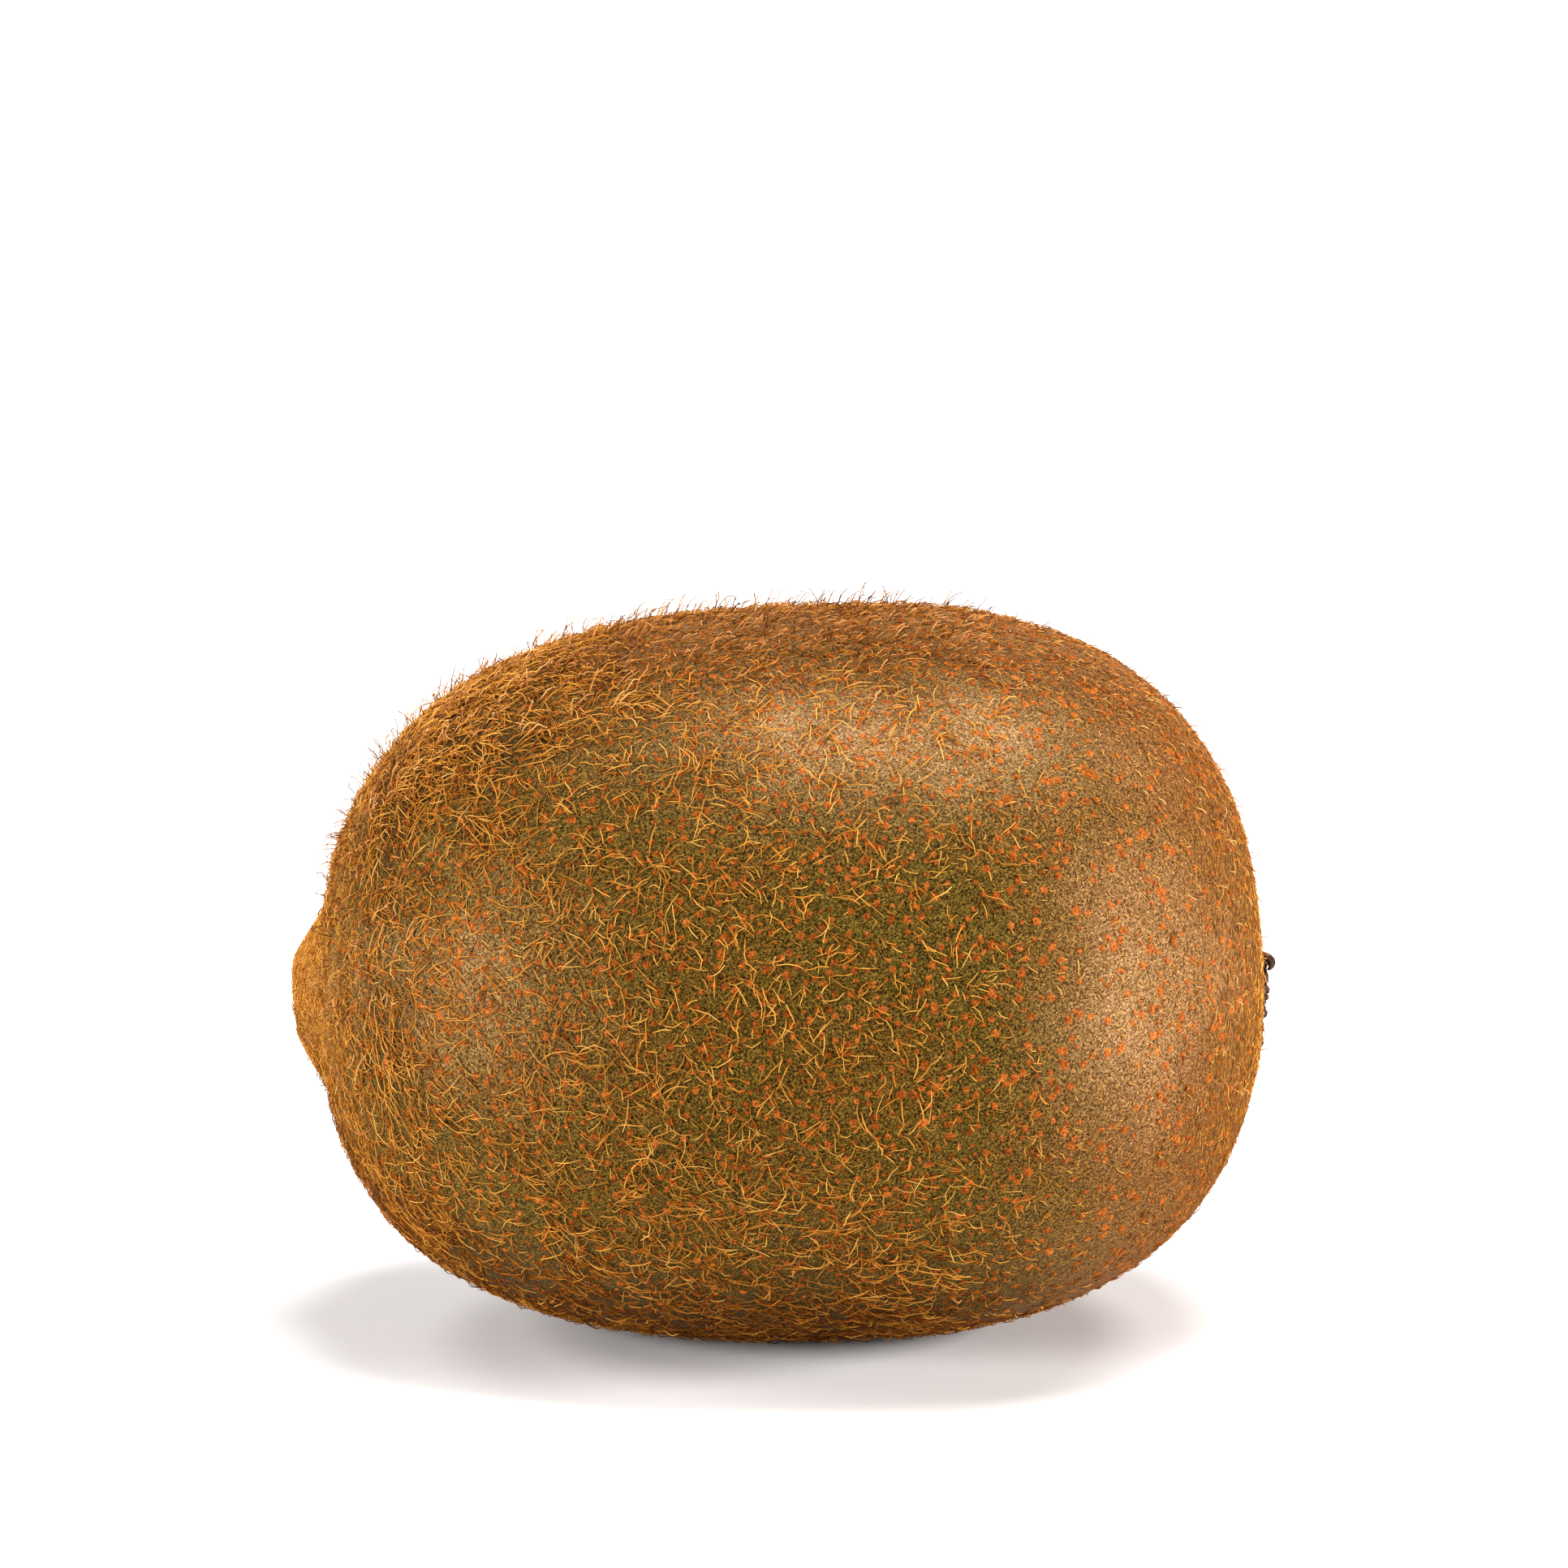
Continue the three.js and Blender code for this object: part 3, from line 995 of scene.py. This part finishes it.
scarLook = {
    "radiusMm": 1.45,
    "heightMm": 0.5,
    "around": 40, "rings": 9,
    "edgeWaves": (0.07, 0.05),  # shares of the radius
    "rimMm": 0.14,
    "rimAt": 0.72,  # share of the radius
    "rimWidth": 0.12, "ridgeMm": 0.05, "ridges": 9, "ringMm": 0.04, "ringTurn": 51,
    "colours": [(0.35, srgb(70, 44, 22)), (0.65, srgb(168, 128, 84))],
    "grainNoise": (3, 3, 0.65),
    "roughness": 0.85, "specular": 0.2, "bumpStrength": 0.8, "bumpMm": 0.15,
}


def makeStalkScar():
    look, around = scarLook, scarLook["around"]
    long, short = look["edgeWaves"]
    rows = []
    for ring in range(look["rings"]):
        share = ring / (look["rings"] - 1)
        rim = look["rimMm"] * math.exp(-((share - look["rimAt"]) / look["rimWidth"]) ** 2)
        for step in range(around):
            angle = 2 * math.pi * step / around
            ragged = 1 + long * math.sin(3 * angle + 1) + short * math.sin(7 * angle)
            radius = look["radiusMm"] * share * ragged
            fibre = look["ridgeMm"] * math.sin(look["ridges"] * angle) * share
            fibre += look["ringMm"] * math.sin(look["ringTurn"] * share)
            height = look["heightMm"] * (1 - share**4) + rim + fibre
            rows.append((-height, radius * math.cos(angle), radius * math.sin(angle)))
    points = np.array(rows) * mm + stalkTip
    material, tree, shader = newMaterial("woodyScar", look)
    grain = noiseNode(tree, objectInMm(tree), "grain", *look["grainNoise"])
    finishShader(tree, shader, look, rampNode(tree, grain, look["colours"]), grain)
    piece = meshPiece("stalkScar", points, stripFaces(around, look["rings"]), material)
    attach(piece, "root")
    print("stalk scar")


makeStalkScar()


# Dry flower: a crumpled pad, withered styles lying out over it and one curled sepal at the top

dryFlower = {
    "padRadiusMm": 3.75, "padMm": 0.62, "padAround": 72, "padRings": 14,
    "crumpleMm": 0.13, "crumplePerMm": 1.6,
    "ridgeMm": 0.11, "ridges": 13,
    "moundMm": 0.55,
    "moundWidth": (2.3, 1.9),  # across and up
    "moundAbove": 1.4,
    "gapMm": 0.3,
    "styles": 38, "styleMm": (1.3, 2.6), "styleThickMm": 0.36, "styleBend": 0.9, "styleSteps": 6,
    "sepalAt": 3.25, "sepalMm": 0.62,
    "sepalFolds": [(-0.16, 1), (0.12, 0.85), (0.3, 0.6)],  # turn from upright and size
    "colours": [(0.38, srgb(36, 20, 10)), (0.56, srgb(70, 42, 22)), (0.72, srgb(122, 80, 46))],
    "streakNoise": (2.4, 3, 0.65, 1.2), "wrinkleNoise": (5, 3, 0.7),
    "roughness": 0.7, "specular": 0.15, "bumpStrength": 0.9, "bumpMm": 0.12,
    "seed": 41,
}


def tube(path, widths, sides, rng, flatness=0.6):
    # a withered strand along a path of points, with closed ends
    path = np.array(path)
    runs = unit(np.gradient(path, axis=0))
    sideways = unit(np.cross(runs, [1.0, 0.03, 0.02]))
    upward = np.cross(sideways, runs)
    points = []
    for place, across, top, width in zip(path, sideways, upward, widths):
        for side in range(sides):
            angle = 2 * math.pi * side / sides
            reach = width / 2 * rng.uniform(0.8, 1.2)
            point = place + across * math.cos(angle) * reach
            points.append(point + top * math.sin(angle) * reach * flatness)
    faces = [(a, d, c, b) for a, b, c, d in stripFaces(sides, len(path))]
    faces.append(tuple(range(sides))[::-1])
    faces.append(tuple((len(path) - 1) * sides + side for side in range(sides)))
    return points, faces


def moundAt(across, above):
    # the upper middle of the pad stands a little proud of the dish
    look = dryFlower
    wide, tall = look["moundWidth"]
    away = -((across / wide) ** 2) - ((above - look["moundAbove"]) / tall) ** 2
    return look["moundMm"] * math.exp(away)


def flowerPad():
    look = dryFlower
    around, rings, thick = look["padAround"], look["padRings"], look["padMm"] / 2
    points = []
    for side in (1, -1):
        for ring in range(rings):
            share = ring / (rings - 1)
            for step in range(around):
                angle = 2 * math.pi * step / around
                ragged = 1 + 0.05 * math.cos(3 * angle + 1) + 0.03 * math.sin(11 * angle)
                radius = look["padRadiusMm"] * share * ragged
                across, above = radius * math.cos(angle), radius * math.sin(angle)
                spot = Vector((across, above, side * 3)) * look["crumplePerMm"]
                relief = look["crumpleMm"] * noise.noise(spot)
                relief += look["ridgeMm"] * share * math.cos(look["ridges"] * angle + 2 * share)
                height = thick + side * (thick * math.sqrt(max(0.0, 1 - share**4)))
                height += relief * (1 if side > 0 else 0.2) * (1 - share**6)
                if side > 0:
                    height += moundAt(across, above)
                points.append(np.array([height, across, above]))
    below = stripFaces(around, rings, rings * around)
    return points, stripFaces(around, rings) + [face[::-1] for face in below]


def flowerStyles(rng):
    look = dryFlower
    golden = math.pi * (3 - math.sqrt(5))  # the angle that spreads them evenly
    root, reach, steps = look["padMm"] * 0.6, look["padRadiusMm"], look["styleSteps"]
    strands = []
    for index in range(look["styles"]):
        share = math.sqrt((index + 0.5) / look["styles"])
        angle = index * golden + rng.uniform(-0.3, 0.3)
        start = share * reach * 0.62
        length = rng.uniform(*look["styleMm"]) * (1.05 - 0.35 * share)
        bend = rng.uniform(-look["styleBend"], look["styleBend"])
        top = look["padMm"] + rng.uniform(0.25, 0.5) * (1.1 - 0.3 * share)
        path, widths = [], []
        for step in range(steps + 1):
            t = step / steps
            heading = angle + bend * t * 0.7
            radius = min(start + length * t, reach * 0.99)
            height = root + (top - root) * math.sin(math.pi * min(1, 0.18 + t * 0.85))
            height += 0.05 * math.sin(9 * t + index)
            across, above = radius * math.cos(heading), radius * math.sin(heading)
            path.append((height + moundAt(across, above), across, above))
            belly = 0.75 + 0.5 * math.sin(math.pi * min(1, t + 0.15))
            widths.append(look["styleThickMm"] * belly * rng.uniform(0.75, 1.2))
        strands.append(tube(path, widths, 6, rng))
    return strands


def flowerSepal(rng):
    look = dryFlower
    folds = []
    for spread, size in look["sepalFolds"]:
        path, widths = [], []
        for step in range(7):
            t = step / 6
            radius = look["sepalAt"] + 0.55 - 1.3 * t * size
            height = 0.35 + 1.5 * size * math.sin(math.pi * (0.08 + 0.62 * t)) ** 0.8
            angle = math.pi / 2 + spread + 0.1 * t
            path.append((height, radius * math.cos(angle), radius * math.sin(angle)))
            width = look["sepalMm"] * 1.5 * size
            widths.append(width * math.sin(math.pi * (0.2 + 0.68 * t)))
        folds.append(tube(path, widths, 8, rng, 0.5))
    return folds


def makeDryFlower():
    look = dryFlower
    rng = np.random.default_rng(look["seed"])
    points, faces = [], []
    for newPoints, newFaces in [flowerPad()] + flowerStyles(rng) + flowerSepal(rng):
        start = len(points)
        points.extend(newPoints)
        faces.extend(tuple(v + start for v in face) for face in newFaces)
    places = np.array(points) * mm + flowerTip + np.array([look["gapMm"] * mm, 0, 0])
    material, tree, shader = newMaterial("witheredBrown", look)
    where = objectInMm(tree)
    streaks = noiseNode(tree, where, "streaks", *look["streakNoise"])
    wrinkles = noiseNode(tree, where, "wrinkles", *look["wrinkleNoise"])
    finishShader(tree, shader, look, rampNode(tree, streaks, look["colours"]), wrinkles)
    piece = meshPiece("dryFlower", places, faces, material)
    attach(piece, "root")
    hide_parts("flower_remains")
    print("dry flower", len(faces), "faces")


makeDryFlower()


# Floor, light and camera

studio = {
    "floorSize": 30, "floorCells": 12, "roughness": 0.9, "specular": 0.1,
    "floorColour": (0.93, 0.92, 0.915),
    "floorDimmer": 0.985,  # its darker mottling
    "mottlingPerMm": 0.02,
    "lights": [  # elevation, angle round from the front towards the flower end, strength
        ("rightLight", 12, 84, 6.35),
        ("frontLeftLight", 14, 299, 3.75),
        ("leftLight", 32, 270, 1.3),
        ("overheadLight", 82, 60, 2.3),
        ("backRightLight", 54, 122, 1.4),
        ("backLeftLight", 54, 236, 0.9),
    ],
    "lightAngle": 22,
    "fill": 0.05, "backdrop": 1.15,
    "lens": 120, "sensorMm": 36,
    "distance": 0.3644, "elevation": 11,
    "imagePixels": 1932,
    "imageOffset": (-3, 228),  # pixels right and down from the image's middle to the fruit's
}


def makeFloor():
    size, wide = studio["floorSize"], studio["floorCells"] + 1
    steps = np.linspace(-size / 2, size / 2, wide)
    points = [(x, y, 0.0) for y in steps for x in steps]
    corners = [row * wide + column for row in range(wide - 1) for column in range(wide - 1)]
    faces = [(c, c + 1, c + wide + 1, c + wide) for c in corners]
    material, tree, shader = newMaterial("paleFloor", studio)
    mottling = noiseNode(tree, objectInMm(tree), "mottling", studio["mottlingPerMm"])
    low = tuple(c * studio["floorDimmer"] for c in studio["floorColour"])
    colour = rampNode(tree, mottling, [(0.3, low), (0.7, studio["floorColour"])])
    tree.links.new(colour, shader.inputs["Base Color"])
    floor = meshPiece("floor", points, faces, material)


def makeLights():
    for name, elevation, heading, strength in studio["lights"]:
        light = bpy.data.lights.new(name, "SUN")
        light.energy, light.angle = strength, math.radians(studio["lightAngle"])
        rise, turn = math.radians(elevation), math.radians(heading)
        level = math.cos(rise)
        source = Vector((math.sin(turn) * level, -math.cos(turn) * level, math.sin(rise)))
        addObject(name, light).rotation_euler = source.to_track_quat("Z", "Y").to_euler()


def makeWorld():
    # the camera sees a bright backdrop, and the fruit gets only a little of its light
    world = bpy.data.worlds.new("paleRoom")
    bpy.context.scene.world = world
    world.use_nodes = True
    tree = world.node_tree
    tree.nodes.clear()
    seen = node(tree, "ShaderNodeLightPath")
    mix = node(tree, "ShaderNodeMixShader")
    tree.links.new(seen.outputs["Is Camera Ray"], mix.inputs[0])
    for index, strength in ((1, studio["fill"]), (2, studio["backdrop"])):
        background = node(tree, "ShaderNodeBackground")
        background.inputs["Strength"].default_value = strength
        background.inputs["Color"].default_value = (1, 1, 1, 1)
        tree.links.new(background.outputs[0], mix.inputs[index])
    out = node(tree, "ShaderNodeOutputWorld")
    tree.links.new(mix.outputs[0], out.inputs["Surface"])


def makeCamera():
    data = bpy.data.cameras.new("camera")
    data.lens, data.sensor_width = studio["lens"], studio["sensorMm"]
    data.clip_start, data.clip_end = 0.02, 100.0
    camera = addObject("camera", data)
    tilt = math.radians(studio["elevation"])
    towards = Vector((0, math.cos(tilt), -math.sin(tilt)))
    camera.location = Vector(centre) - towards * studio["distance"]
    focal = studio["lens"] / studio["sensorMm"] * studio["imagePixels"]
    right, down = studio["imageOffset"]
    aim = towards.to_track_quat("-Z", "Y").to_matrix()
    gaze = aim @ Vector((-right / focal, down / focal, -1.0))
    camera.rotation_euler = gaze.to_track_quat("-Z", "Y").to_euler()
    bpy.context.scene.camera = camera
    bpy.context.scene.view_settings.view_transform = "Standard"


makeFloor()
makeLights()
makeWorld()
makeCamera()
print("studio")
